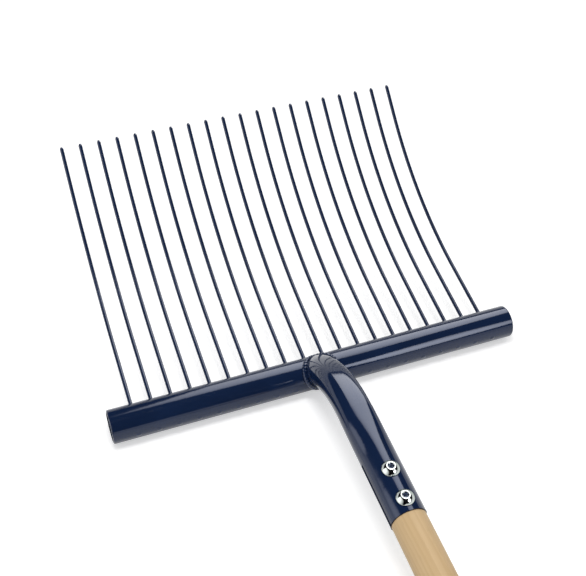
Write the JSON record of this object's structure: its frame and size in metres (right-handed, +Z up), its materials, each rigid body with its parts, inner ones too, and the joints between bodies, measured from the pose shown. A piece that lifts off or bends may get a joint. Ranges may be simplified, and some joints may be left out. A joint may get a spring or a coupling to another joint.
{
  "type": "stable fork",
  "caption": "Stable fork: a row of bent wire tines through a tubular crossbar, with a welded swan neck, a bolted socket and a long round wooden handle.",
  "frame": {"origin": "on the floor, in the middle of the fork's length and width, as it lies with its crossbar and the handle's end on the floor", "axes": "+Z up, +X along the crossbar, +Y from the handle towards the tips of the tines"},
  "size_m": [0.43, 1.6045, 0.1423],
  "materials": {
    "blue_paint": "gloss dark blue powder coat",
    "ash_wood": "smooth sanded pale wood with long grain",
    "bright_zinc": "bright plated",
    "dull_zinc": "satin zinc plate",
    "nylon": "matte natural nylon"
  },
  "bodies": {
    "root": {"crossbar": "blue_paint", "tine_welds": "blue_paint", "neck": "blue_paint", "neck_weld": "blue_paint", "handle": "ash_wood", "upper_screw": "bright_zinc", "lower_screw": "bright_zinc", "upper_washer": "dull_zinc", "lower_washer": "dull_zinc", "upper_nut": "dull_zinc", "lower_nut": "dull_zinc", "upper_nut_insert": "nylon", "lower_nut_insert": "nylon", "tine_01": "blue_paint", "tine_02": "blue_paint", "tine_03": "blue_paint", "tine_04": "blue_paint", "tine_05": "blue_paint", "tine_06": "blue_paint", "tine_07": "blue_paint", "tine_08": "blue_paint", "tine_09": "blue_paint", "tine_10": "blue_paint", "tine_11": "blue_paint", "tine_12": "blue_paint", "tine_13": "blue_paint", "tine_14": "blue_paint", "tine_15": "blue_paint", "tine_16": "blue_paint", "tine_17": "blue_paint", "tine_18": "blue_paint", "tine_19": "blue_paint", "tine_20": "blue_paint"}
  },
  "joints": []
}
